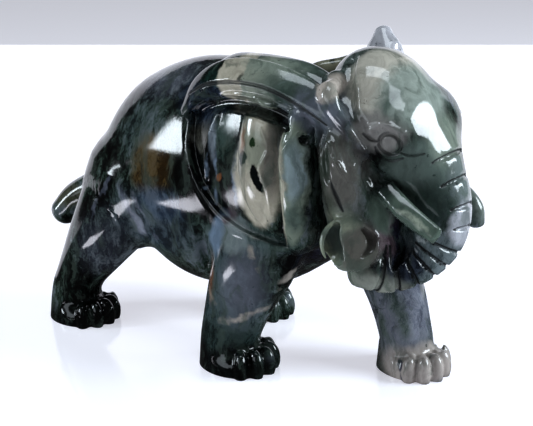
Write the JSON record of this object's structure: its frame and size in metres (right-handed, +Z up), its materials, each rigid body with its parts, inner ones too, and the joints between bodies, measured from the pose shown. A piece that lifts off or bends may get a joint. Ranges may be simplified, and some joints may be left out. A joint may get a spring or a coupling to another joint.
{
  "type": "elephant sculpture",
  "caption": "Walking elephant carved from mottled jade, with laid-back ears, short tusks and a trunk curled to its cheek; a desk or shelf ornament.",
  "frame": {"origin": "on the ground plane of the four soles, midway along the overall length and width", "axes": "+X from the tail to the head, +Y to the elephant's left, +Z up"},
  "size_m": [0.1482, 0.0562, 0.0956],
  "materials": {
    "jade": "polished"
  },
  "bodies": {
    "root": {"elephant": "jade"}
  },
  "joints": []
}
